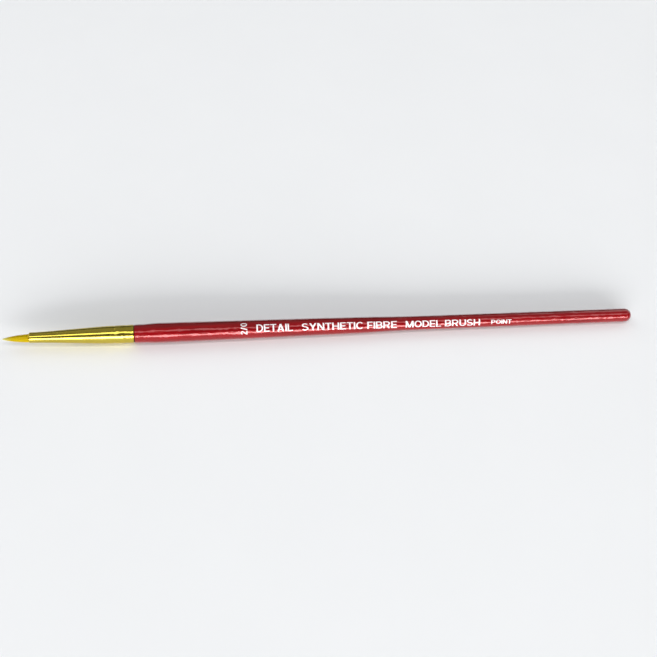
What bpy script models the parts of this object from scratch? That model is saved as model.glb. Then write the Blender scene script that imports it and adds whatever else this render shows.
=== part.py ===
"""A fine detail brush for model making, lying on its belly.

The brush points along X: the tip of the tuft is at -X and the end of the handle at +X.
+Z is up. The origin is under the middle of the brush, on the surface it lies on.
Every "station" below is a distance along the brush from the tip of the tuft.
Every radius is measured to the flats of the many-sided turned pieces.
"""

import math

import bmesh
import bpy
from mathutils import Matrix

MM = 0.001
SIDES = 24
OVERALL_LENGTH = 175 * MM
FIT_GAP = 0.03 * MM

# Tuft: filaments that stand out of the ferrule and end in a point
TUFT_LENGTH = 6.96 * MM
TUFT_BASE_RADIUS = 1.17 * MM
TUFT_TAPER_POWER = 1.5
TUFT_POINT_POWER = 0.7
SWAY_PIVOT = TUFT_LENGTH - 0.6 * MM
BEND_PIVOT = TUFT_LENGTH - 2.6 * MM
POINT_CLEARANCE = 0.08 * MM
HEEL_RIM = BEND_PIVOT + 0.62 * MM
ROOT_RADIUS = 1.12 * MM
ROOT_FRONT = 7.65 * MM
ROOT_END = 16 * MM

# Thread that ties the roots of the filaments together
THREAD_RADIUS = 0.07 * MM
THREAD_TURNS = 5
THREAD_PITCH = 0.2 * MM
THREAD_START = 12 * MM
THREAD_BITE = 0.06 * MM
THREAD_POINTS_PER_TURN = 16

# Resin that holds the roots in the ferrule
PLUG_FRONT = 14 * MM
PLUG_BACK = 18 * MM

# Ferrule: (station, outer radius) of its mouth, neck, skirt and back edge
FERRULE_WALL = 0.2 * MM
FERRULE_MOUTH = (TUFT_LENGTH, 1.4 * MM)
FERRULE_NECK = (8.7 * MM, 1.435 * MM)
FERRULE_SKIRT = (28.3 * MM, 2.375 * MM)
FERRULE_BACK = (34.2 * MM, 2.475 * MM)
FERRULE_EDGE = 0.06 * MM
CRIMP_STATIONS = (29.1 * MM, 32.4 * MM)
CRIMP_WIDTH = 0.9 * MM
CRIMP_DEPTH = 0.06 * MM

# Tenon of the handle and the glue around it
TENON_FRONT = 19 * MM
TENON_NOSE = 0.5 * MM
GLUE_THICKNESS = 0.08 * MM
GLUE_FRONT = 21 * MM
GLUE_BACK = 33.6 * MM

# Handle: (station, radius) down its side, ending in a round dome
LACQUER_THICKNESS = 0.12 * MM
SHOULDER = (34.45 * MM, 2.5 * MM)
BELLY_FRONT = (40.8 * MM, 2.71 * MM)
BELLY_BACK = (45.8 * MM, 2.71 * MM)
HANDLE_OUTLINE = (
    SHOULDER,
    (37.2 * MM, 2.55 * MM),
    BELLY_FRONT,
    BELLY_BACK,
    (53 * MM, 2.64 * MM),
    (64 * MM, 2.58 * MM),
    (80 * MM, 2.43 * MM),
    (98 * MM, 2.235 * MM),
    (106 * MM, 2.045 * MM),
    (113 * MM, 1.97 * MM),
    (OVERALL_LENGTH, 1.93 * MM),
)
HANDLE_STEPS = 3
END_RADIUS = HANDLE_OUTLINE[-1][1]
DOME_CENTRE = OVERALL_LENGTH - END_RADIUS
ARC_STEPS = 6

AXIS_HEIGHT = BELLY_FRONT[1]


def straight_between(points, station):
    """The radius at a station of a side made of straight runs."""
    for (low, low_radius), (high, high_radius) in zip(points, points[1:]):
        if station <= high:
            share = max(0.0, (station - low) / (high - low))
            return low_radius + share * (high_radius - low_radius)
    return points[-1][1]


def slopes(points):
    """The slope at each point of a smooth side that never overshoots its points."""
    runs = [(b[1] - a[1]) / (b[0] - a[0]) for a, b in zip(points, points[1:])]
    inner = [0.0 if a * b <= 0 else 2 * a * b / (a + b) for a, b in zip(runs, runs[1:])]
    return [runs[0], *inner, runs[-1]]


def smooth_between(points, station):
    """The radius at a station of a side that runs smoothly through its points."""
    tangents = slopes(points)
    for index, ((low, low_radius), (high, high_radius)) in enumerate(zip(points, points[1:])):
        if station <= high or index == len(points) - 2:
            span = high - low
            t = (station - low) / span
            rest = 1 - t
            ends = (1 + 2 * t) * rest * rest * low_radius + t * t * (3 - 2 * t) * high_radius
            bends = t * rest * (rest * tangents[index] - t * tangents[index + 1])
            return ends + span * bends
    raise ValueError("a side needs two points or more")


def handle_radius(station):
    return smooth_between(HANDLE_OUTLINE, station)


def tuft_radius(station):
    """The tuft's side: level where it leaves the ferrule, then rounding over to a point."""
    from_mouth = 1 - station / TUFT_LENGTH
    return TUFT_BASE_RADIUS * (1 - from_mouth**TUFT_TAPER_POWER) ** TUFT_POINT_POWER


def ferrule_radius(station):
    """The outside of the ferrule: a tube, a cone and a skirt with two rings pressed into it."""
    side = (FERRULE_MOUTH, FERRULE_NECK, FERRULE_SKIRT, FERRULE_BACK)
    radius = straight_between(side, station)
    for crimp in CRIMP_STATIONS:
        away = abs(station - crimp) / (CRIMP_WIDTH / 2)
        if away < 1:
            radius -= CRIMP_DEPTH * (1 + math.cos(math.pi * away)) / 2
    return radius


def bore_radius(station):
    return ferrule_radius(station) - FERRULE_WALL


def steps(start, end, count):
    return [start + (end - start) * index / count for index in range(count + 1)]


def arc(centre, radius, start_angle, end_angle, count=ARC_STEPS):
    """Points on a circle about a station; angle 0 is on the axis, towards the handle."""
    angles = steps(math.radians(start_angle), math.radians(end_angle), count)
    return [(centre + radius * math.cos(a), radius * math.sin(a)) for a in angles]


def ferrule_stations(start, end):
    """Stations that a piece in or on the ferrule needs, so that it follows the pressed rings."""
    found = {start, end}
    corners = [FERRULE_NECK[0], *steps(FERRULE_NECK[0], FERRULE_SKIRT[0], 3)[1:]]
    for crimp in CRIMP_STATIONS:
        corners += steps(crimp - CRIMP_WIDTH / 2, crimp + CRIMP_WIDTH / 2, 4)
    found.update(station for station in corners if start < station < end)
    return sorted(found)


def handle_stations():
    """Stations down the side of the handle, up to the start of its dome."""
    found = []
    marks = [point[0] for point in HANDLE_OUTLINE[:-1]]
    for low, high in zip(marks, marks[1:]):
        count = 1 if (low, high) == (BELLY_FRONT[0], BELLY_BACK[0]) else HANDLE_STEPS
        found += steps(low, high, count)[:-1]
    return found + steps(marks[-1], DOME_CENTRE, HANDLE_STEPS)


def material(name, colour, roughness, metallic=0.0, coat=0.0):
    made = bpy.data.materials.new(name)
    made.use_nodes = True
    shader = made.node_tree.nodes["Principled BSDF"]
    shader.inputs["Base Color"].default_value = (*colour, 1)
    shader.inputs["Roughness"].default_value = roughness
    shader.inputs["Metallic"].default_value = metallic
    shader.inputs["Coat Weight"].default_value = coat
    made.diffuse_color = (*colour, 1)
    return made


def ring(mesh, station, radius):
    """One ring of corners around the axis, or a single corner on it."""
    x = station - OVERALL_LENGTH / 2
    if radius == 0:
        return [mesh.verts.new((x, 0, 0))]
    corner_radius = radius / math.cos(math.pi / SIDES)
    angles = [2 * math.pi * (side + 0.5) / SIDES for side in range(SIDES)]
    return [
        mesh.verts.new((x, corner_radius * math.cos(a), corner_radius * math.sin(a)))
        for a in angles
    ]


def bridge(mesh, first, second):
    for side in range(SIDES):
        after = (side + 1) % SIDES
        corners = [first[side % len(first)], first[after % len(first)]]
        corners += [second[after % len(second)], second[side % len(second)]]
        mesh.faces.new(list(dict.fromkeys(corners)))


def turned(name, outline, finish, parent, origin_station=OVERALL_LENGTH / 2):
    """A piece turned about the axis of the brush. An outline that doesn't end on the axis is closed."""
    shape = bmesh.new()
    rings = [ring(shape, station, radius) for station, radius in outline]
    for first, second in zip(rings, rings[1:]):
        bridge(shape, first, second)
    if len(rings[0]) > 1:
        bridge(shape, rings[-1], rings[0])
    bmesh.ops.recalc_face_normals(shape, faces=shape.faces)
    origin_x = origin_station - OVERALL_LENGTH / 2
    shape.transform(Matrix.Translation((-origin_x, 0, 0)))
    mesh = bpy.data.meshes.new(name)
    shape.to_mesh(mesh)
    shape.free()
    mesh.shade_smooth()
    mesh.set_sharp_from_angle(angle=math.radians(40))
    mesh.materials.append(finish)
    piece = bpy.data.objects.new(name, mesh)
    bpy.context.collection.objects.link(piece)
    piece.parent = parent
    parent_x = parent.get("axis_x", 0.0)
    piece.location.x = origin_x - parent_x
    piece["axis_x"] = origin_x
    return piece


def make_handle(parent):
    wood = material("bare_wood", (0.62, 0.44, 0.26), 0.7)
    red = material("red_lacquer", (0.42, 0.015, 0.02), 0.18, coat=1.0)

    wood_inset = LACQUER_THICKNESS + FIT_GAP
    tenon_inset = FIT_GAP + GLUE_THICKNESS + FIT_GAP
    tenon = [
        (station, bore_radius(station) - tenon_inset)
        for station in ferrule_stations(TENON_FRONT + TENON_NOSE, FERRULE_BACK[0])
    ]
    tenon_radius = tenon[0][1]
    nose = [(TENON_FRONT, 0), (TENON_FRONT, tenon_radius - TENON_NOSE)]
    shoulder = [(SHOULDER[0], tenon[-1][1])]
    side = [(station, handle_radius(station) - wood_inset) for station in handle_stations()]
    dome = arc(DOME_CENTRE, END_RADIUS - wood_inset, 90, 0)[1:-1]
    pole = [(OVERALL_LENGTH - wood_inset, 0)]
    turned("handle_core", nose + tenon + shoulder + side + dome + pole, wood, parent)

    outside = [(station, handle_radius(station)) for station in handle_stations()]
    outside += arc(DOME_CENTRE, END_RADIUS, 90, 0)[1:-1]
    inside = [(station, radius - LACQUER_THICKNESS) for station, radius in outside[: len(side)]]
    inside += arc(DOME_CENTRE, END_RADIUS - LACQUER_THICKNESS, 90, 0)[1:-1]
    coat = [(OVERALL_LENGTH, 0), *reversed(outside), *inside]
    coat += [(OVERALL_LENGTH - LACQUER_THICKNESS, 0)]
    turned("handle_lacquer", coat, red, parent)


def make_ferrule(parent):
    gold = material("gold_coloured_metal", (0.83, 0.68, 0.27), 0.2, metallic=1.0)
    mouth, mouth_radius = FERRULE_MOUTH
    back, back_radius = FERRULE_BACK
    stations = ferrule_stations(mouth + FERRULE_EDGE, back - FERRULE_EDGE)
    outside = [(mouth, mouth_radius - FERRULE_EDGE)]
    outside += [(station, ferrule_radius(station)) for station in stations]
    outside += [(back, back_radius - FERRULE_EDGE)]
    inside = [(station, bore_radius(station)) for station in [mouth, *stations, back]]
    turned("ferrule", outside + inside[::-1], gold, parent)


def make_glue(parent):
    glue = material("wood_glue", (0.78, 0.7, 0.5), 0.5)
    stations = ferrule_stations(GLUE_FRONT, GLUE_BACK)
    outside = [(station, bore_radius(station) - FIT_GAP) for station in stations]
    inside = [(station, radius - GLUE_THICKNESS) for station, radius in outside]
    turned("tenon_glue", outside + inside[::-1], glue, parent)


def make_plug(parent):
    resin = material("set_resin", (0.45, 0.3, 0.1), 0.25)
    pocket_radius = ROOT_RADIUS + FIT_GAP
    pocket_end = ROOT_END + FIT_GAP
    outline = [
        (pocket_end, 0),
        (pocket_end, pocket_radius),
        (PLUG_FRONT, pocket_radius),
        (PLUG_FRONT, bore_radius(PLUG_FRONT) - FIT_GAP),
        (PLUG_BACK, bore_radius(PLUG_BACK) - FIT_GAP),
        (PLUG_BACK, 0),
    ]
    turned("epoxy_plug", outline, resin, parent)


def make_thread(parent, tied_radius):
    """The thread is wound in a tight helix around the neck that it bites into the roots."""
    curve = bpy.data.curves.new("binding_thread", "CURVE")
    curve.dimensions = "3D"
    curve.bevel_depth = THREAD_RADIUS
    curve.bevel_resolution = 1
    curve.use_fill_caps = True
    curve.materials.append(material("tying_thread", (0.75, 0.72, 0.65), 0.8))
    winding_radius = tied_radius / math.cos(math.pi / SIDES) + FIT_GAP + THREAD_RADIUS
    count = THREAD_TURNS * THREAD_POINTS_PER_TURN
    spline = curve.splines.new("POLY")
    spline.points.add(count)
    for index, point in enumerate(spline.points):
        turn = index / THREAD_POINTS_PER_TURN
        angle = 2 * math.pi * turn
        x = THREAD_START + turn * THREAD_PITCH - OVERALL_LENGTH / 2
        point.co = (x, winding_radius * math.cos(angle), winding_radius * math.sin(angle), 1)
    thread = bpy.data.objects.new("binding_thread", curve)
    bpy.context.collection.objects.link(thread)
    thread.parent = parent


def make_tuft(parent):
    hair = material("golden_filament", (0.65, 0.45, 0.03), 0.45)
    tied_radius = ROOT_RADIUS - THREAD_BITE
    tied_end = THREAD_START + THREAD_TURNS * THREAD_PITCH
    slack = 4 * THREAD_RADIUS
    root = [
        (ROOT_FRONT, 0),
        (ROOT_FRONT, ROOT_RADIUS),
        (THREAD_START - 2 * slack, ROOT_RADIUS),
        (THREAD_START - slack, tied_radius),
        (tied_end + slack, tied_radius),
        (tied_end + 2 * slack, ROOT_RADIUS),
        (ROOT_END, ROOT_RADIUS),
        (ROOT_END, 0),
    ]
    turned("tuft_root", root, hair, parent)
    make_thread(parent, tied_radius)

    heel_ball = tuft_radius(SWAY_PIVOT)
    point_ball = tuft_radius(BEND_PIVOT)
    dish = point_ball + POINT_CLEARANCE
    rim_angle = math.degrees(math.acos((HEEL_RIM - BEND_PIVOT) / dish))
    heel = [(SWAY_PIVOT + heel_ball, 0), *arc(SWAY_PIVOT, heel_ball, 0, 90)[1:-1]]
    heel += [(station, tuft_radius(station)) for station in steps(SWAY_PIVOT, HEEL_RIM, 3)]
    heel += [*arc(BEND_PIVOT, dish, rim_angle, 0)[:-1], (BEND_PIVOT + dish, 0)]
    tuft_heel = turned("tuft_heel", heel, hair, parent, SWAY_PIVOT)

    point = [(BEND_PIVOT + point_ball, 0), *arc(BEND_PIVOT, point_ball, 0, 90)[1:-1]]
    side = [BEND_PIVOT * (1 - share) ** 2 for share in steps(0, 1, 7)]
    point += [(station, tuft_radius(station)) for station in side[:-1]]
    point += [(0, 0)]
    turned("tuft_point", point, hair, tuft_heel, BEND_PIVOT)


def main():
    for old in list(bpy.data.objects):
        bpy.data.objects.remove(old, do_unlink=True)
    axis = bpy.data.objects.new("brush_axis", None)
    axis.location.z = AXIS_HEIGHT
    bpy.context.collection.objects.link(axis)
    make_handle(axis)
    make_ferrule(axis)
    make_glue(axis)
    make_plug(axis)
    make_tuft(axis)


main()
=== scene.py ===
"""The looks of the fine detail brush: its lacquered handle, ferrule, filaments and printing.

Lengths are in metres. The brush lies along X, with the tip of its tuft at -X.
A "station" is a distance along the brush from that tip, and an "angle" goes around
the brush's axis from +Y (0) over +Z (90 degrees).
"""

import math
import random
import re

import bmesh
import bpy
import numpy as np
from mathutils import Matrix, Vector, noise
from mathutils.geometry import delaunay_2d_cdt


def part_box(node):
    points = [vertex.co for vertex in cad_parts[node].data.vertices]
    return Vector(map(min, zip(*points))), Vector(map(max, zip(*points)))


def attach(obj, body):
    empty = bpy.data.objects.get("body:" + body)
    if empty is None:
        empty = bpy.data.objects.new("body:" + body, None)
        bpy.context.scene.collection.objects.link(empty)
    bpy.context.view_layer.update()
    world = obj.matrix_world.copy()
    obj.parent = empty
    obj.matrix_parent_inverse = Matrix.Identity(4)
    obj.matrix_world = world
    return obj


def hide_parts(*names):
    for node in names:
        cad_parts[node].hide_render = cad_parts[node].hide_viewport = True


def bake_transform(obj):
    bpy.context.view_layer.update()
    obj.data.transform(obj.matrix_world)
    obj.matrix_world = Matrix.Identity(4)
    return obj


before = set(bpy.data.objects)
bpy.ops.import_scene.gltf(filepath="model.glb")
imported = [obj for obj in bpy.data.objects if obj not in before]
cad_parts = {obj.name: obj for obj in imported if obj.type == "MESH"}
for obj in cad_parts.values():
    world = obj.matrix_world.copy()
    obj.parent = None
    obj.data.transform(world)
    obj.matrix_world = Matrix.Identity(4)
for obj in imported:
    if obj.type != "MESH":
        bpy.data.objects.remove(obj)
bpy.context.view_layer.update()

MM = 0.001
SHARP_DEGREES = 35
CAD_SIDES = 24
TO_FLATS = math.cos(math.pi / CAD_SIDES)
TIP_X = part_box("tuft_point")[0].x
END_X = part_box("handle_lacquer")[1].x
AXIS_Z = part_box("handle_lacquer")[1].z / 2
MOUTH_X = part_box("ferrule")[0].x
FERRULE_END_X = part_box("ferrule")[1].x
HANDLE_START_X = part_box("handle_lacquer")[0].x


# ---------------------------------------------------------------- outlines from the frame

SAME_RING_DIGITS = 7
FLAT_RUN = 1e-15


def cad_outline(node):
    """The (x, radius) of each ring of a turned CAD node; of two rings at one x, the outer one."""
    rings = {}
    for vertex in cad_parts[node].data.vertices:
        radius = math.hypot(vertex.co.y, vertex.co.z - AXIS_Z) * TO_FLATS
        rings.setdefault(round(vertex.co.x, SAME_RING_DIGITS), []).append(radius)
    return [(x, max(rings[x])) for x in sorted(rings)]


def smooth_side(points):
    """A function that gives the radius at any x of a smooth side through the points.

    Its slope at a point is the harmonic mean of the runs on each side, so it never overshoots.
    """
    xs = np.array([point[0] for point in points])
    radii = np.array([point[1] for point in points])
    runs = np.diff(radii) / np.diff(xs)
    before, after = runs[:-1], runs[1:]
    means = np.where(before * after > 0, 2 * before * after / (before + after + FLAT_RUN), 0)
    slopes = np.concatenate([[runs[0]], means, [runs[-1]]])

    def side(x):
        k = int(np.clip(np.searchsorted(xs, x) - 1, 0, len(xs) - 2))
        span = xs[k + 1] - xs[k]
        t = min(max((x - xs[k]) / span, 0.0), 1.0)
        value = (1 + 2 * t) * (1 - t) ** 2 * radii[k] + t * t * (3 - 2 * t) * radii[k + 1]
        return value + span * (t * (1 - t) ** 2 * slopes[k] - t * t * (1 - t) * slopes[k + 1])

    return side


# ---------------------------------------------------------------- mesh makers

def add_mesh(name, mesh, material, sharp_degrees=SHARP_DEGREES):
    """Puts a mesh in the scene as a piece, shaded smooth apart from its sharp edges."""
    mesh.shade_smooth()
    mesh.set_sharp_from_angle(angle=math.radians(sharp_degrees))
    mesh.materials.append(material)
    piece = bpy.data.objects.new(name, mesh)
    bpy.context.scene.collection.objects.link(piece)
    return piece


def add_piece(name, verts, faces, material, sharp_degrees=SHARP_DEGREES):
    mesh = bpy.data.meshes.new(name)
    mesh.from_pydata(verts, [], faces)
    mesh.update()
    return add_mesh(name, mesh, material, sharp_degrees)


def turned(name, outline, sides, material, relief=None):
    """A closed piece turned about the brush's axis from an outline of (x, radius), in order.

    An outline that starts on the axis ends on it. Any other is closed into a ring.
    relief(x, angle, radius) is how far the surface stands out there, or in if negative.
    """
    verts, faces, rings = [], [], []
    for x, radius in outline:
        first = len(verts)
        count = sides if radius > 0 else 1
        for side in range(count):
            angle = 2 * math.pi * side / sides
            stands = relief(x, angle, radius) if relief and radius > 0 else 0.0
            reach = radius + stands
            verts.append((x, reach * math.cos(angle), AXIS_Z + reach * math.sin(angle)))
        rings.append((first, count))
    pairs = list(zip(rings, rings[1:]))
    if rings[0][1] > 1:
        pairs.append((rings[-1], rings[0]))
    for (first, count), (other, other_count) in pairs:
        for side in range(sides):
            after = (side + 1) % sides
            corners = [first + side % count, first + after % count]
            corners += [other + after % other_count, other + side % other_count]
            faces.append(tuple(dict.fromkeys(corners)))
    piece = add_piece(name, verts, faces, material)
    face_out(piece.data)
    return piece


def face_out(mesh):
    """Turns every face of a closed mesh outwards."""
    shape = bmesh.new()
    shape.from_mesh(mesh)
    bmesh.ops.recalc_face_normals(shape, faces=shape.faces)
    shape.to_mesh(mesh)
    shape.free()


def steps(start, end, count):
    """The numbers from start to end in count equal steps, both ends included."""
    return [start + (end - start) * index / count for index in range(count + 1)]


def rounded(x, radius, along, out, start_degrees, end_degrees, count=6):
    """A rounded edge: points of an ellipse centred at (x, radius), from one angle to another.

    Angle 0 is towards +X and 90 is away from the brush's axis.
    """
    angles = steps(math.radians(start_degrees), math.radians(end_degrees), count)
    return [(x + along * math.cos(a), radius + out * math.sin(a)) for a in angles]


# ---------------------------------------------------------------- materials

# Sockets of a Mix node that mixes colours
MIX_FACTOR = 0
MIX_FIRST = 6
MIX_SECOND = 7
MIX_RESULT = 2
# Nearly all of a noise lies between these
NOISE_LOW, NOISE_HIGH = 0.3, 0.7


class Nodes:
    """A short way to write a node material. Scales are per metre, for each axis of the object."""

    def __init__(self, name):
        self.material = bpy.data.materials.new(name)
        self.material.use_nodes = True
        self.tree = self.material.node_tree
        self.shader = self.tree.nodes["Principled BSDF"]

    def add(self, kind, **values):
        node = self.tree.nodes.new(kind)
        for key, value in values.items():
            if hasattr(node, key):
                setattr(node, key, value)
            else:
                node.inputs[key.replace("_", " ")].default_value = value
        return node

    def link(self, source, target):
        self.tree.links.new(source, target)

    def set(self, **values):
        for key, value in values.items():
            self.shader.inputs[key.replace("_", " ")].default_value = value

    def place(self, scale):
        """Object coordinates, multiplied by a scale for each axis."""
        coordinates = self.add("ShaderNodeTexCoord")
        mapping = self.add("ShaderNodeMapping")
        mapping.inputs["Scale"].default_value = scale
        self.link(coordinates.outputs["Object"], mapping.inputs["Vector"])
        return mapping.outputs["Vector"]

    def noise(self, scale, detail, rough=0.55):
        node = self.add("ShaderNodeTexNoise", Scale=1.0, Detail=detail, Roughness=rough)
        self.link(self.place(scale), node.inputs["Vector"])
        return node.outputs["Fac"]

    def ramp(self, source, *stops):
        """Colours at their places on a scale from 0 to 1."""
        node = self.add("ShaderNodeValToRGB")
        elements = node.color_ramp.elements
        while len(elements) < len(stops):
            elements.new(0.5)
        for element, (place, colour) in zip(elements, stops):
            element.position = place
            element.color = (*colour, 1)
        self.link(source, node.inputs["Fac"])
        return node.outputs["Color"]

    def range(self, source, low, high):
        """Spreads a noise over the values from low to high."""
        node = self.add("ShaderNodeMapRange")
        node.inputs["From Min"].default_value = NOISE_LOW
        node.inputs["From Max"].default_value = NOISE_HIGH
        node.inputs["To Min"].default_value = low
        node.inputs["To Max"].default_value = high
        self.link(source, node.inputs["Value"])
        return node.outputs["Result"]

    def bump(self, height, strength, distance, under=None):
        node = self.add("ShaderNodeBump", Strength=strength, Distance=distance)
        self.link(height, node.inputs["Height"])
        if under is not None:
            self.link(under, node.inputs["Normal"])
        return node.outputs["Normal"]

    def attribute(self, name):
        return self.add("ShaderNodeAttribute", attribute_name=name).outputs["Fac"]


def red_lacquer(name="red_lacquer", depth=1.0, gloss=1.0):
    """Clear coat over a red ground; depth below 1 darkens the ground, which in the joint is painted
    shade, and gloss below 1 dulls the coat.
    """
    n = Nodes(name)
    n.set(Coat_Weight=gloss, Coat_Roughness=0.035, Coat_IOR=1.4)
    n.set(IOR=1.4, Specular_IOR_Level=0.85 * gloss, Specular_Tint=(1.0, 0.1, 0.1, 1))
    grain = n.noise((60, 900, 900), detail=6, rough=0.6)
    dark, middle, pale = [
        (red * depth, green * depth, blue * depth)
        for red, green, blue in ((0.115, 0.0008, 0.0018), (0.185, 0.0013, 0.003), (0.23, 0.002, 0.0042))
    ]
    n.link(n.ramp(grain, (0.25, dark), (0.5, middle), (0.8, pale)), n.shader.inputs["Base Color"])
    cloud = n.noise((300, 300, 300), detail=3)
    n.link(n.range(cloud, 0.13, 0.2), n.shader.inputs["Roughness"])
    fine = n.noise((800, 3000, 3000), detail=5)
    normal = n.bump(fine, 0.5, 0.02 * MM)
    n.link(normal, n.shader.inputs["Normal"])
    n.link(normal, n.shader.inputs["Coat Normal"])
    return n.material


def gold_metal():
    """Gold-coloured metal with the fine lines that drawing the tube left along it."""
    n = Nodes("gold_metal")
    n.set(Metallic=1.0, Specular_IOR_Level=0.5)
    tint = n.noise((120, 300, 300), detail=4)
    colour = n.ramp(tint, (0.3, (0.56, 0.44, 0.060)), (0.7, (0.64, 0.51, 0.085)))
    n.link(colour, n.shader.inputs["Base Color"])
    drawn = n.noise((80, 5000, 5000), detail=3)
    n.link(n.range(drawn, 0.12, 0.20), n.shader.inputs["Roughness"])
    dents = n.noise((900, 900, 900), detail=2)
    normal = n.bump(drawn, 0.2, 0.006 * MM)
    normal = n.bump(dents, 0.2, 0.03 * MM, normal)
    n.link(normal, n.shader.inputs["Normal"])
    return n.material


def filament():
    """Each synthetic filament has its own tone, and they all turn paler towards the tip."""
    n = Nodes("filament")
    n.set(Roughness=0.5, Specular_IOR_Level=0.12)
    n.set(Subsurface_Weight=0.2, Subsurface_Scale=0.3 * MM, Subsurface_Radius=(1.0, 0.6, 0.05))
    tone = n.add("ShaderNodeMix", data_type="RGBA")
    tone.inputs[MIX_FIRST].default_value = (0.39, 0.25, 0.0002, 1)
    tone.inputs[MIX_SECOND].default_value = (0.66, 0.48, 0.0006, 1)
    n.link(n.attribute("hair_tone"), tone.inputs[MIX_FACTOR])
    tip = n.add("ShaderNodeMix", data_type="RGBA")
    tip.inputs[MIX_SECOND].default_value = (0.62, 0.58, 0.16, 1)
    n.link(n.attribute("toward_tip"), tip.inputs[MIX_FACTOR])
    n.link(tone.outputs[MIX_RESULT], tip.inputs[MIX_FIRST])
    n.link(tip.outputs[MIX_RESULT], n.shader.inputs["Base Color"])
    return n.material


def printing_ink():
    n = Nodes("printing_ink")
    n.set(Coat_Weight=0.4, Coat_Roughness=0.15)
    patches = n.noise((2500, 2500, 2500), detail=3)
    colour = n.ramp(patches, (0.2, (0.56, 0.50, 0.52)), (0.45, (0.70, 0.67, 0.68)))
    n.link(colour, n.shader.inputs["Base Color"])
    n.link(n.range(patches, 0.3, 0.5), n.shader.inputs["Roughness"])
    return n.material


def bare_wood():
    n = Nodes("bare_wood")
    grain = n.noise((40, 1500, 1500), detail=8, rough=0.65)
    dark, middle, pale = (0.42, 0.26, 0.12), (0.62, 0.43, 0.24), (0.72, 0.55, 0.35)
    colour = n.ramp(grain, (0.3, dark), (0.55, middle), (0.75, pale))
    n.link(colour, n.shader.inputs["Base Color"])
    n.link(n.range(grain, 0.6, 0.85), n.shader.inputs["Roughness"])
    n.link(n.bump(grain, 0.5, 0.03 * MM), n.shader.inputs["Normal"])
    return n.material


def hardened_glue(name, low, high, roughness, clearness=0.0):
    n = Nodes(name)
    n.set(Transmission_Weight=clearness)
    cloud = n.noise((1500, 1500, 1500), detail=4)
    n.link(n.ramp(cloud, (0.3, low), (0.7, high)), n.shader.inputs["Base Color"])
    n.link(n.range(cloud, roughness, roughness + 0.15), n.shader.inputs["Roughness"])
    n.link(n.bump(cloud, 0.3, 0.02 * MM), n.shader.inputs["Normal"])
    return n.material


def tying_thread():
    n = Nodes("tying_thread")
    n.set(Roughness=0.85, Sheen_Weight=0.3, Sheen_Roughness=0.4)
    twist = n.add("ShaderNodeTexWave", Scale=1.0, Distortion=2.0)
    n.link(n.place((9000, 6000, 6000)), twist.inputs["Vector"])
    colour = n.ramp(twist.outputs["Fac"], (0.2, (0.52, 0.48, 0.40)), (0.8, (0.78, 0.75, 0.66)))
    n.link(colour, n.shader.inputs["Base Color"])
    n.link(n.bump(twist.outputs["Fac"], 0.6, 0.02 * MM), n.shader.inputs["Normal"])
    return n.material


def floor_paint():
    n = Nodes("floor_paint")
    n.set(Roughness=0.8, Specular_IOR_Level=0.2)
    cloud = n.noise((30, 30, 30), detail=3)
    colour = n.ramp(cloud, (0.3, (0.83, 0.84, 0.85)), (0.7, (0.84, 0.85, 0.86)))
    n.link(colour, n.shader.inputs["Base Color"])
    return n.material


# ---------------------------------------------------------------- handle

HANDLE_SIDES = 144
HANDLE_RING_GAP = 0.27 * MM
LACQUER_EDGE = 0.09 * MM
LACQUER_WALL = 0.12 * MM
# A point deeper than this share of the wall is on its inside
LACQUER_INNER_SHARE = 0.9
DOME_STEPS = 18
DOME_INNER_EVERY = 3
HANDLE_INNER_STEPS = 40
# Rings of the frame that are narrower than this belong to the dome
DOME_CROWN_RADIUS = 1.0 * MM
DOME_ROUNDNESS = 0.999
RELIEF_DROP = 0.022 * MM
# height, waves per mm across and along, and where each starts in the noise
GRAIN = (
    (0.006 * MM, 0.9, 0.2, 0, 0),
    (0.014 * MM, 1.6, 0.35, 7, 0),
    (0.018 * MM, 3.1, 0.9, 0, 5),
    (0.012 * MM, 4.3, 2.1, 3, 0),
)

# The end of the handle is a half ball, as wide as the handle where the ball starts
handle_points = [point for point in cad_outline("handle_lacquer") if point[1] > DOME_CROWN_RADIUS]
DOME_RADIUS = next(
    radius for x, radius in reversed(handle_points) if END_X - x >= radius * DOME_ROUNDNESS
)
DOME_X = END_X - DOME_RADIUS
handle_points = [point for point in handle_points if point[0] < DOME_X] + [(DOME_X, DOME_RADIUS)]
handle_side = smooth_side(handle_points)


def grain_relief(x, angle, radius):
    """The wood's grain, which shows through the coat as long low ridges; it only cuts in."""
    around = Vector((0, math.cos(angle), math.sin(angle))) * (radius / MM)
    along = x / MM
    depth = sum(
        height * noise.noise(around * across + Vector((along * lengthways, start_y, start_z)))
        for height, across, lengthways, start_y, start_z in GRAIN
    )
    return min(0.0, depth - RELIEF_DROP)


def lacquer_relief(x, angle, radius):
    """The grain cuts into the outside of the coat and the dome; the inner wall is plain."""
    inner_wall = x < DOME_X and radius < handle_side(x) - LACQUER_WALL * LACQUER_INNER_SHARE
    return 0.0 if inner_wall else grain_relief(x, angle, radius)


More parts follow.
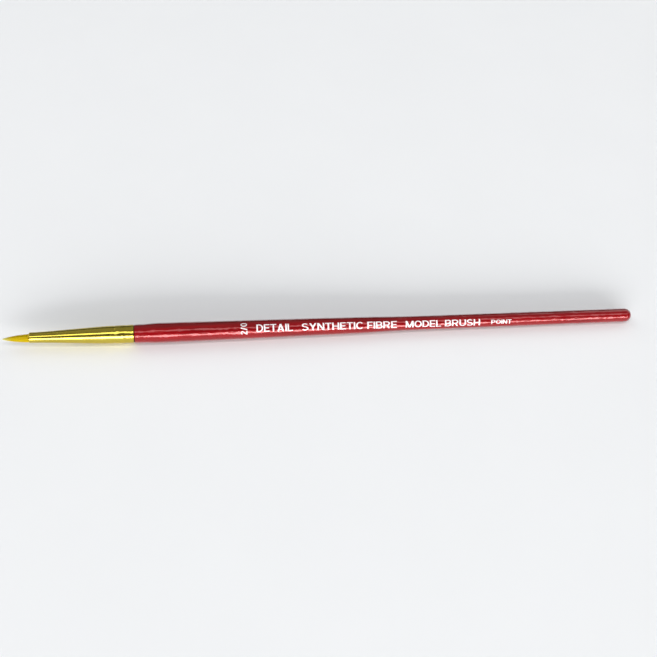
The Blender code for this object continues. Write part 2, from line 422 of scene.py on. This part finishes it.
def make_handle(material):
    """The coat: a thin shell, open at the ferrule and closed by the dome at the other end."""
    front, edge = HANDLE_START_X, LACQUER_EDGE
    front_radius = handle_side(front)
    count = round((DOME_X - front - edge) / HANDLE_RING_GAP)
    lip = rounded(front + edge, front_radius - edge, edge, edge, 180, 90)
    side = [(x, handle_side(x)) for x in steps(front + edge, DOME_X, count)[1:]]
    arcs = [math.radians(a) for a in steps(90, 0, DOME_STEPS)[1:-1]]
    dome = [(DOME_X + DOME_RADIUS * math.cos(a), DOME_RADIUS * math.sin(a)) for a in arcs]
    inner_radius = DOME_RADIUS - LACQUER_WALL
    inner_dome = [
        (DOME_X + inner_radius * math.cos(a), inner_radius * math.sin(a))
        for a in arcs[::DOME_INNER_EVERY]
    ]
    inner_side = [(x, handle_side(x) - LACQUER_WALL) for x in steps(front, DOME_X, HANDLE_INNER_STEPS)]
    outline = [(END_X, 0), *reversed(dome), *reversed(side), *reversed(lip)]
    outline += [*inner_side, *inner_dome, (DOME_X + inner_radius, 0)]
    piece = turned("handle_coat", outline, HANDLE_SIDES, material, lacquer_relief)
    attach(piece, "brush")
    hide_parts("handle_lacquer")


# ---------------------------------------------------------------- ferrule

FERRULE_SIDES = 128
FERRULE_RING_GAP = 0.12 * MM
FERRULE_WALL = 0.2 * MM
FERRULE_INNER_SHARE = 0.6
FERRULE_INNER_STEPS = 60
MOUTH_LIP_ALONG, MOUTH_LIP_OUT = 0.22 * MM, 0.16 * MM
BACK_LIP = 0.045 * MM
# Waves per mm around and across; dents are a little longer along the tube
BROAD_DENTS, SMALL_DENTS, GROOVE_DENTS = 0.8, 2.2, 1.1
DENT_STRETCH = 0.9
DENT_DEPTH = 0.08 * MM
SMALL_DENT_SHARE = 0.25
BROAD_DENT_START = 0.05
DENT_SHARE_IN_FRONT = 0.06
DENTS_START = TIP_X + 28.2 * MM
DENTS_RUN = 1.2 * MM
CRIMP_X = TIP_X + 29.1 * MM
CRIMP_REACH = 0.3 * MM
CRIMP_BITE = 0.02 * MM
CRIMP_EVENNESS = 0.5
GROOVE_SHARE = 0.6
JOINT_CLEARANCE = 0.01 * MM
JOINT_DEPTH = 0.18 * MM
JOINT_THICKNESS = 0.1 * MM

ferrule_points = [point for point in cad_outline("ferrule") if MOUTH_X < point[0] < FERRULE_END_X]


def without_grooves(points):
    """The outline with its two crimped grooves left out: only the points that are still rising."""
    kept = [points[0]]
    for point in points[1:]:
        if point[1] > kept[-1][1]:
            kept.append(point)
    return kept


grooved_side = smooth_side(ferrule_points)
plain_side = smooth_side(without_grooves(ferrule_points))


def ferrule_side(x):
    """The radius of the tube; its crimped grooves are drawn softer than in the frame."""
    return plain_side(x) + GROOVE_SHARE * (grooved_side(x) - plain_side(x))


def ferrule_relief(x, angle, radius):
    """Dents: very shallow ones all over, deeper ones at the back, and an uneven bite in one groove.

    They cut into the outside of the tube; its inner wall is plain.
    """
    if radius < ferrule_side(x) - FERRULE_WALL * FERRULE_INNER_SHARE:
        return 0.0
    at_back = min(1.0, max(0.0, (x - DENTS_START) / DENTS_RUN))
    share = DENT_SHARE_IN_FRONT + (1 - DENT_SHARE_IN_FRONT) * at_back
    across, up = math.cos(angle) * radius / MM, math.sin(angle) * radius / MM
    place = Vector((x / MM * DENT_STRETCH, across, up))
    broad = max(0.0, noise.noise(place * BROAD_DENTS) - BROAD_DENT_START)
    small = abs(noise.noise(place * SMALL_DENTS))
    in_groove = math.exp(-((x - CRIMP_X) / CRIMP_REACH) ** 2)
    bite = in_groove * max(0.0, CRIMP_EVENNESS + noise.noise(place * GROOVE_DENTS))
    return -DENT_DEPTH * (broad + SMALL_DENT_SHARE * small) * share - CRIMP_BITE * bite


def make_ferrule(material):
    """A thin tube: its mouth is rolled in around the tuft, and its back edge is slightly rounded."""
    along, out = MOUTH_LIP_ALONG, MOUTH_LIP_OUT
    front = MOUTH_X + along
    back = FERRULE_END_X - BACK_LIP
    front_radius, back_radius = ferrule_side(front), ferrule_side(back)
    count = round((back - front) / FERRULE_RING_GAP)
    outline = rounded(front, front_radius - out, along, out, 180, 90, 8)
    outline += [(x, ferrule_side(x)) for x in steps(front, back, count)[1:-1]]
    outline += rounded(back, back_radius - BACK_LIP, BACK_LIP, BACK_LIP, 90, 0)
    inside = steps(front, FERRULE_END_X, FERRULE_INNER_STEPS)
    outline += [(x, ferrule_side(x) - FERRULE_WALL) for x in reversed(inside)]
    outline += rounded(front, front_radius - out, along, FERRULE_WALL - out, 270, 180, 4)[1:-1]
    piece = turned("ferrule_tube", outline, FERRULE_SIDES, material, ferrule_relief)
    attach(piece, "brush")
    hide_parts("ferrule")


def make_joint_bead(material):
    """The line between the ferrule and the handle: lacquer in the joint, lower than both, its red
    darkened nearly to black as painted shade.
    """
    low, high = FERRULE_END_X + JOINT_CLEARANCE, HANDLE_START_X - JOINT_CLEARANCE
    top = ferrule_side(FERRULE_END_X) - JOINT_DEPTH
    bottom = top - JOINT_THICKNESS
    edge = JOINT_CLEARANCE * 2
    outline = [(low, bottom), (low, top - edge), (low + edge, top)]
    outline += [(high - edge, top), (high, top - edge), (high, bottom)]
    piece = turned("joint_bead", outline, HANDLE_SIDES, material)
    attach(piece, "brush")


# ---------------------------------------------------------------- tuft

TUFT_BASE_RADIUS = 1.11 * MM
# Powers in the tuft's outline: how far it stays level, and how bluntly it closes to its point
TUFT_LEVEL = 1.5
TUFT_BLUNT = 0.7
TUFT_LEAN_Y, TUFT_LEAN_Z = -0.12 * MM, -0.06 * MM
LEAN_AT_MOUTH = 0.85
SETTLE_LENGTH = 0.7 * MM
ROOT_START_X, ROOT_END_X = [corner.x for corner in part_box("tuft_root")]
ROOT_RADIUS = cad_outline("tuft_root")[-1][1]
ROOT_LEAST_RADIUS = 0.5 * MM
TIED_RADIUS = min(radius for x, radius in cad_outline("tuft_root") if radius > ROOT_LEAST_RADIUS)
THREAD_START_X, THREAD_END_X = [corner.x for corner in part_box("binding_thread")]
THREAD_MARGIN = 0.5 * MM
ROOT_MARGIN, MOUTH_MARGIN = 1.0 * MM, 0.4 * MM
THREAD_STEPS, BLEND_STEPS, FREE_STEPS = 4, 3, 14

# The filaments are cut in two, BEND_REACH behind the front of the heel.
HEEL_FRONT_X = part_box("tuft_heel")[0].x
BEND_REACH = 1.4 * MM
CUT_X = HEEL_FRONT_X + BEND_REACH

HAIR_COUNT = 430
HAIR_SEED = 17
HAIR_RADIUS = 0.048 * MM
HAIR_TIP_SHARE = 0.2
HAIR_TAPER = 0.6
HAIR_SIDES = 6
HAIR_SHARP_DEGREES = 60
GOLDEN_ANGLE = math.pi * (3 - math.sqrt(5))
# How far round the tuft a filament may be from its place (radians), at its root and at its end
START_SCATTER = 0.05
END_SCATTER = 0.12
# The most that a filament ends short of the tip, as a share of the tuft, and two powers: filaments
# near the middle of the tuft are longer, and short ones are rare
SHORTEST_SHARE = 0.5
SHORTER_OUTSIDE = 2.0
SHORT_IS_RARE = 2.2
# A few filaments stray from the rest midway, by this many mm
STRAY_CHANCE = 0.03
STRAY_LEAST, STRAY_MOST = 0.02, 0.07
TIP_CLEARANCE = 0.02 * MM
PALE_LENGTH = 2.6 * MM


def tuft_radius(x):
    """The outline of the tuft: level where it leaves the ferrule, then rounding over to a point."""
    from_mouth = min(max((MOUTH_X - x) / (MOUTH_X - TIP_X), 0.0), 1.0)
    return TUFT_BASE_RADIUS * (1 - from_mouth ** TUFT_LEVEL) ** TUFT_BLUNT


def bundle_radius(x):
    """The tuft outside the ferrule, and inside it the root, with its waist under the thread."""
    if x <= MOUTH_X:
        return tuft_radius(x)
    low, high = THREAD_START_X, THREAD_END_X
    squeezed = math.exp(-((x - (low + high) / 2) / (high - low)) ** 4)
    settled = min(1, (x - MOUTH_X) / SETTLE_LENGTH)
    untied = TUFT_BASE_RADIUS + (ROOT_RADIUS - TUFT_BASE_RADIUS) * settled
    return untied + (TIED_RADIUS - ROOT_RADIUS) * squeezed


def hair_paths():
    """Each filament as (tone, [(x, y, z, radius)]) from its root to its tip.

    The tuft lies a little off the brush's axis, towards the front and down.
    """
    chance = random.Random(HAIR_SEED)
    paths = []
    for index in range(HAIR_COUNT):
        reach = math.sqrt((index + 0.5) / HAIR_COUNT)
        angle = index * GOLDEN_ANGLE + chance.uniform(-START_SCATTER, START_SCATTER)
        drift = chance.uniform(-END_SCATTER, END_SCATTER)
        tone = chance.random()
        shorter = SHORTEST_SHARE * reach ** SHORTER_OUTSIDE * chance.random() ** SHORT_IS_RARE
        ends = max(TIP_X + (MOUTH_X - TIP_X) * shorter, TIP_X + TIP_CLEARANCE)
        is_stray = chance.random() < STRAY_CHANCE
        stray = chance.uniform(STRAY_LEAST, STRAY_MOST) * MM if is_stray else 0.0
        behind, before = THREAD_END_X + THREAD_MARGIN, THREAD_START_X - THREAD_MARGIN
        inside = [ROOT_END_X, *steps(behind, before, THREAD_STEPS)]
        inside += [ROOT_START_X + ROOT_MARGIN, MOUTH_X + MOUTH_MARGIN]
        outside = steps(MOUTH_X, CUT_X, BLEND_STEPS)
        free = [CUT_X + (ends - CUT_X) * share for share in steps(0, 1, FREE_STEPS)[1:]]
        points = []
        for x in inside + outside + free:
            left = max(0.0, (x - ends) / (MOUTH_X - ends)) if x < MOUTH_X else 1.0
            thick = HAIR_RADIUS * (HAIR_TIP_SHARE + (1 - HAIR_TIP_SHARE) * left ** HAIR_TAPER)
            out = 1 - min(1, max(0.0, (x - TIP_X) / (MOUTH_X - TIP_X)))
            around = angle + drift * out
            strayed = stray * out * (1 - out) * 4
            away = max(0.0, bundle_radius(x) - thick) * reach + strayed
            if x <= MOUTH_X:
                lean = min(1.0, LEAN_AT_MOUTH + out)
            else:
                lean = LEAN_AT_MOUTH * math.exp((MOUTH_X - x) / MM)
            y = away * math.cos(around) + lean * TUFT_LEAN_Y
            z = AXIS_Z + away * math.sin(around) + lean * TUFT_LEAN_Z
            points.append((x, y, z, thick))
        paths.append((tone, points))
    return paths


def add_hair(points, tone, verts, faces, tones, tips):
    """One round tapered filament, closed at both ends."""
    first = len(verts)
    for x, y, z, thick in points:
        for side in range(HAIR_SIDES):
            angle = 2 * math.pi * side / HAIR_SIDES
            verts.append((x, y + thick * math.cos(angle), z + thick * math.sin(angle)))
            tones.append(tone)
            tips.append(min(1.0, max(0.0, 1 - (x - TIP_X) / PALE_LENGTH)))
    for row in range(len(points) - 1):
        for side in range(HAIR_SIDES):
            after = (side + 1) % HAIR_SIDES
            low, high = first + row * HAIR_SIDES, first + (row + 1) * HAIR_SIDES
            faces.append((low + side, low + after, high + after, high + side))
    last = first + (len(points) - 1) * HAIR_SIDES
    faces.append(tuple(first + side for side in reversed(range(HAIR_SIDES))))
    faces.append(tuple(last + side for side in range(HAIR_SIDES)))


def make_tuft_piece(name, paths, material):
    verts, faces, tones, tips = [], [], [], []
    for tone, points in paths:
        add_hair(points, tone, verts, faces, tones, tips)
    piece = add_piece(name, verts, faces, material, HAIR_SHARP_DEGREES)
    face_out(piece.data)
    for key, values in (("hair_tone", tones), ("toward_tip", tips)):
        attribute = piece.data.attributes.new(key, "FLOAT", "POINT")
        attribute.data.foreach_set("value", values)
    return piece


def make_tuft(material):
    """The filaments in two pieces, cut behind the front of the heel."""
    paths = hair_paths()
    xs = [point[0] for point in paths[0][1]]
    cut = min(range(len(xs)), key=lambda index: abs(xs[index] - CUT_X))
    heel_paths = [(tone, points[: cut + 1]) for tone, points in paths]
    point_paths = [(tone, points[cut:]) for tone, points in paths]
    heel = make_tuft_piece("hairs_heel", heel_paths, material)
    tip = make_tuft_piece("hairs_point", point_paths, material)
    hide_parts("tuft_root", "tuft_heel")
    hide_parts("tuft_point")
    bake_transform(heel)
    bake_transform(tip)


# ---------------------------------------------------------------- printing

INK_THICKNESS = 0.012 * MM
INK_SUNK = 0.04 * MM
PRINT_ANGLE = math.radians(180 - 56.7)
PRINT_DRIFT = 0.0112
PRINT_LEVEL_X = TIP_X + 69 * MM
WRAP_STEP = 0.12 * MM
WRAP_LEAST_STEPS = 4
SAME_CORNER = 1e-5
SAME_VERTEX = 1e-7
ON_THE_CUT = 1e-8
# words; station of the left edge, width and height in mm; whether turned to read across the handle
PRINTING = (
    ("2/0", 62.75, 1.75, 3.3, True),
    ("DETAIL", 67.0, 9.9, 2.06, False),
    ("SYNTHETIC FIBRE", 79.4, 26.5, 1.97, False),
    ("MODEL BRUSH", 108.4, 21.3, 1.86, False),
    ("POINT", 132.95, 5.9, 1.22, False),
)

# Plain bold capitals, drawn for a cap height of 1. STEM is the width of an upright stroke,
# BAR the height of a level one and SLANT the width of a sloping one.
STEM = 0.152
BAR = 0.125
SLANT = 0.18
LETTER_GAP = 0.085
WORD_GAP = 0.33
BOW_STEP_DEGREES = 15
BOW_LEAST_STEPS = 6


def block(left, foot, right, top):
    """A stroke with upright sides. Every stroke is a list of convex outlines."""
    return [[(left, foot), (right, foot), (right, top), (left, top)]]


def stem(left, foot=0.0, top=1.0):
    return block(left, foot, left + STEM, top)


def slant(foot_x, top_x, foot=0.0, top=1.0):
    return [[(foot_x, foot), (foot_x + SLANT, foot), (top_x + SLANT, top), (top_x, top)]]


def bow(centre_x, centre_y, across, up, start, end):
    """An elliptical stroke, from one angle to another, as a fan of small quads."""
    count = max(BOW_LEAST_STEPS, round((end - start) / BOW_STEP_DEGREES))
    angles = steps(math.radians(start), math.radians(end), count)
    rims = [
        (
            (centre_x + across * math.cos(a), centre_y + up * math.sin(a)),
            (centre_x + (across - STEM) * math.cos(a), centre_y + (up - BAR) * math.sin(a)),
        )
        for a in angles
    ]
    return [[low[1], low[0], high[0], high[1]] for low, high in zip(rims, rims[1:])]


def bars(width, *feet):
    """Level strokes from the left edge, one for each height of a foot."""
    return [shape for foot in feet for shape in block(0, foot, width, foot + BAR)]


TOP_BAR = 1 - BAR
MIDDLE_BAR = 0.44
# letter: (width, strokes)
LETTERS = {
    " ": (WORD_GAP - LETTER_GAP, []),
    "0": (0.62, bow(0.31, 0.5, 0.31, 0.5, 0, 360)),
    "2": (
        0.6,
        bars(0.6, 0) + bow(0.29, 0.7, 0.29, 0.3, -20, 165) + slant(0, 0.33, BAR, 0.6),
    ),
    "/": (0.5, slant(0, 0.3)),
    "A": (0.78, slant(0, 0.28) + slant(0.555, 0.275) + block(0.15, 0.2, 0.63, 0.2 + BAR)),
    "B": (
        0.69,
        stem(0) + bars(0.41, 0, MIDDLE_BAR - 0.02, TOP_BAR)
        + bow(0.39, 0.29, 0.3, 0.29, -90, 90) + bow(0.37, 0.71, 0.28, 0.29, -90, 90),
    ),
    "C": (0.74, bow(0.4, 0.5, 0.4, 0.5, 42, 318)),
    "D": (0.71, stem(0) + bars(0.33, 0, TOP_BAR) + bow(0.31, 0.5, 0.4, 0.5, -90, 90)),
    "E": (0.6, stem(0) + bars(0.6, 0, TOP_BAR) + bars(0.55, MIDDLE_BAR)),
    "F": (0.57, stem(0) + bars(0.57, TOP_BAR) + bars(0.51, MIDDLE_BAR - 0.03)),
    "H": (0.71, stem(0) + stem(0.71 - STEM) + bars(0.71, MIDDLE_BAR)),
    "I": (STEM, stem(0)),
    "L": (0.56, stem(0) + bars(0.56, 0)),
    "M": (0.86, stem(0) + stem(0.86 - STEM) + slant(0.3175, 0) + slant(0.3175, 0.86 - SLANT)),
    "N": (0.71, stem(0) + stem(0.71 - STEM) + slant(0.71 - SLANT, 0)),
    "O": (0.8, bow(0.4, 0.5, 0.4, 0.5, 0, 360)),
    "P": (0.67, stem(0) + bars(0.38, 0.38, TOP_BAR) + bow(0.36, 0.69, 0.31, 0.31, -90, 90)),
    "R": (
        0.73,
        stem(0) + bars(0.4, 0.4, TOP_BAR) + bow(0.38, 0.7, 0.31, 0.3, -90, 90)
        + slant(0.5, 0.31, 0, 0.45),
    ),
    "S": (0.68, bow(0.33, 0.73, 0.32, 0.27, 28, 270) + bow(0.34, 0.28, 0.34, 0.28, -155, 90)),
    "T": (0.64, bars(0.64, TOP_BAR) + stem(0.32 - STEM / 2)),
    "U": (0.72, stem(0, 0.36) + stem(0.72 - STEM, 0.36) + bow(0.36, 0.36, 0.36, 0.36, 180, 360)),
    "Y": (
        0.73,
        stem(0.365 - STEM / 2, 0, 0.45)
        + slant(0.365 - SLANT / 2, 0, 0.38, 1) + slant(0.365 - SLANT / 2, 0.73 - SLANT, 0.38, 1),
    ),
}


def flat_letters(words, turned_across):
    """The words as a flat bmesh in the XY plane, each letter's strokes merged into one outline."""
    points, shapes, x = [], [], 0.0
    for letter in words:
        width, strokes = LETTERS[letter]
        for stroke in strokes:
            shapes.append(list(range(len(points), len(points) + len(stroke))))
            points += [Vector((x + across, up)) for across, up in stroke]
        x += width + LETTER_GAP
    corners, _, triangles, _, _, covered = delaunay_2d_cdt(points, [], shapes, 1, SAME_CORNER)
    shape = bmesh.new()
    verts = [shape.verts.new((corner.x, corner.y, 0)) for corner in corners]
    for triangle, strokes in zip(triangles, covered):
        if strokes:
            shape.faces.new([verts[index] for index in triangle])
    loose = [vert for vert in shape.verts if not vert.link_faces]
    bmesh.ops.delete(shape, geom=loose, context="VERTS")
    if turned_across:
        shape.transform(Matrix.Rotation(math.radians(90), 4, "Z"))
    return shape


def make_words(index, words, station, width, height, turned_across, material):
    """One row of PRINTING: flat letters cut into narrow strips, thickened and wrapped on the handle."""
    shape = flat_letters(words, turned_across)
    xs = [vertex.co.x for vertex in shape.verts]
    ys = [vertex.co.y for vertex in shape.verts]
    shape.transform(Matrix.Translation((-min(xs), -(min(ys) + max(ys)) / 2, 0)))
    grow = (width * MM / (max(xs) - min(xs)), height * MM / (max(ys) - min(ys)))
    shape.transform(Matrix.Diagonal((*grow, 1, 1)))
    bmesh.ops.remove_doubles(shape, verts=shape.verts, dist=SAME_VERTEX)
    half = height * MM / 2
    strips = max(WRAP_LEAST_STEPS, round(2 * half / WRAP_STEP))
    for cut in steps(-half, half, strips)[1:-1]:
        geometry = shape.verts[:] + shape.edges[:] + shape.faces[:]
        bmesh.ops.bisect_plane(
            shape, geom=geometry, dist=ON_THE_CUT, plane_co=(0, cut, 0), plane_no=(0, 1, 0)
        )
    bottom = shape.faces[:]
    grown = bmesh.ops.extrude_face_region(shape, geom=bottom, use_keep_orig=True)
    top = {item for item in grown["geom"] if isinstance(item, bmesh.types.BMVert)}
    start = TIP_X + station * MM
    for vertex in shape.verts:
        x = start + vertex.co.x
        surface = handle_side(x)
        drift = PRINT_DRIFT * max(0.0, x - PRINT_LEVEL_X)
        angle = PRINT_ANGLE - (vertex.co.y - drift) / surface
        reach = surface + (INK_THICKNESS if vertex in top else -INK_SUNK)
        vertex.co = (x, reach * math.cos(angle), AXIS_Z + reach * math.sin(angle))
    bmesh.ops.recalc_face_normals(shape, faces=shape.faces)
    name = f"print_{index}_{re.sub('[^a-z0-9]', '_', words.lower())}"
    mesh = bpy.data.meshes.new(name)
    shape.to_mesh(mesh)
    shape.free()
    piece = add_mesh(name, mesh, material)
    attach(piece, "brush")


# ---------------------------------------------------------------- stage, lights, camera

FLOOR_HALF = 1.6
BELLY_CLOSENESS = 0.005 * MM
# name; bearing and elevation in degrees; distance, width and height; radiance
LIGHTS = (
    ("key_strip", 0, 12.6, 3.0, 5.1, 0.93, 10.8),
    ("front_panel", 0, 17, 3.4, 6.6, 2.0, 1.1),
    ("overhead_panel", 0, 73, 3.0, 5.1, 0.9, 2.9),
    ("back_panel", 180, 58, 3.0, 6.6, 3.6, 0.22),
    ("back_left_panel", -125, 32, 3.2, 2.9, 2.3, 1.2),
    ("back_right_panel", 125, 32, 3.2, 2.9, 2.3, 1.2),
)
FILL_COLOUR = (0.92, 0.95, 1.0, 1)
FILL_STRENGTH = 0.1
BACKDROP_COLOUR = (0.93, 0.94, 0.95, 1)


def make_floor(material):
    """The brush lies on its belly and on the end of its handle, so the floor touches both."""
    belly_back = max(x for x, radius in handle_points if radius > AXIS_Z - BELLY_CLOSENESS)
    rise = AXIS_Z - DOME_RADIUS
    slope = math.atan2(rise, DOME_X - belly_back)
    half = FLOOR_HALF
    corners = [(-half, -half, 0), (half, -half, 0), (half, half, 0), (-half, half, 0)]
    floor = add_piece("floor", corners, [(0, 1, 2, 3)], material)
    floor.matrix_world = Matrix.Translation((belly_back, 0, 0)) @ Matrix.Rotation(-slope, 4, "Y")


def add_light(name, bearing, elevation, distance, width, height, radiance):
    """A soft panel that faces the brush. Bearing 0 is in front (-Y); 90 is at +X."""
    data = bpy.data.lights.new(name, "AREA")
    data.shape = "RECTANGLE"
    data.size, data.size_y = width, height
    data.energy = math.pi * width * height * radiance
    lamp = bpy.data.objects.new(name, data)
    bpy.context.scene.collection.objects.link(lamp)
    b, e = math.radians(bearing), math.radians(elevation)
    away = Vector((math.sin(b) * math.cos(e), -math.cos(b) * math.cos(e), math.sin(e)))
    lamp.location = Vector((0, 0, AXIS_Z)) + away * distance
    lamp.rotation_euler = away.to_track_quat("Z", "Y").to_euler()
    lamp.visible_camera = False


def make_lights():
    """A bright strip low in front, inside a wide dimmer panel, and softer panels above and behind.

    The world is a dim fill for the brush and a pale backdrop for the camera.
    """
    for row in LIGHTS:
        add_light(*row)
    world = bpy.data.worlds.new("studio")
    world.use_nodes = True
    nodes = world.node_tree.nodes
    links = world.node_tree.links
    fill = nodes["Background"]
    fill.inputs["Color"].default_value = FILL_COLOUR
    fill.inputs["Strength"].default_value = FILL_STRENGTH
    backdrop = nodes.new("ShaderNodeBackground")
    backdrop.inputs["Color"].default_value = BACKDROP_COLOUR
    rays = nodes.new("ShaderNodeLightPath")
    mix = nodes.new("ShaderNodeMixShader")
    links.new(rays.outputs["Is Camera Ray"], mix.inputs[0])
    links.new(fill.outputs["Background"], mix.inputs[1])
    links.new(backdrop.outputs["Background"], mix.inputs[2])
    links.new(mix.outputs["Shader"], nodes["World Output"].inputs["Surface"])
    bpy.context.scene.world = world


CAMERA_DISTANCE = 0.276
CLIP_NEAR, CLIP_FAR = 0.01, 20
SENSOR_WIDTH = 36
# The focal length as a share of the image's width
FOCAL_IN_WIDTHS = 1000 / 657
CAMERA_BEARING = math.radians(-12.8)
CAMERA_ELEVATION = math.radians(51)
CAMERA_ROLL_SLOPE = 0.0385
CAMERA_RISE = -0.60 * MM
CENTRE_STATION = 87.06 * MM


def make_camera():
    """Looks down at the brush from the front, with the handle's end a little further away."""
    data = bpy.data.cameras.new("camera")
    data.sensor_width = SENSOR_WIDTH
    data.lens = FOCAL_IN_WIDTHS * SENSOR_WIDTH
    data.clip_start, data.clip_end = CLIP_NEAR, CLIP_FAR
    camera = bpy.data.objects.new("camera", data)
    bpy.context.scene.collection.objects.link(camera)
    b, e = CAMERA_BEARING, CAMERA_ELEVATION
    back = Vector((math.sin(b) * math.cos(e), -math.cos(b) * math.cos(e), math.sin(e)))
    level = Vector((math.cos(b), math.sin(b), 0))
    upright = back.cross(level)
    along = Vector((1, 0, 0))
    lean = math.atan2(along.dot(upright), along.dot(level)) - math.atan(CAMERA_ROLL_SLOPE)
    right = level * math.cos(lean) + upright * math.sin(lean)
    up = back.cross(right)
    target = Vector((TIP_X + CENTRE_STATION, 0, AXIS_Z))
    place = target + back * CAMERA_DISTANCE + up * CAMERA_RISE
    turn = Matrix((right, up, back)).transposed()
    camera.matrix_world = Matrix.Translation(place) @ turn.to_4x4()
    bpy.context.scene.camera = camera


def finish_inner_nodes():
    """The pieces inside the ferrule and under the coat keep their CAD shape."""
    finishes = {
        "handle_core": bare_wood(),
        "tenon_glue": hardened_glue("wood_glue", (0.70, 0.60, 0.40), (0.82, 0.76, 0.58), 0.45),
        "epoxy_plug": hardened_glue("set_resin", (0.38, 0.24, 0.07), (0.50, 0.34, 0.13), 0.15, 0.3),
        "binding_thread": tying_thread(),
    }
    for node, material in finishes.items():
        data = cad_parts[node].data
        data.materials.clear()
        data.materials.append(material)
        data.shade_smooth()
        data.set_sharp_from_angle(angle=math.radians(SHARP_DEGREES))


def main():
    bpy.context.scene.view_settings.view_transform = "Standard"
    make_camera()
    make_lights()
    make_floor(floor_paint())
    finish_inner_nodes()
    make_handle(red_lacquer())
    make_ferrule(gold_metal())
    # The joint's lacquer is darkened to near black: painted shade for the shadow line in the joint.
    make_joint_bead(red_lacquer("joint_lacquer_painted_shade", 0.15, 0.15))
    make_tuft(filament())
    ink = printing_ink()
    for index, row in enumerate(PRINTING, 1):
        make_words(index, *row, ink)


main()
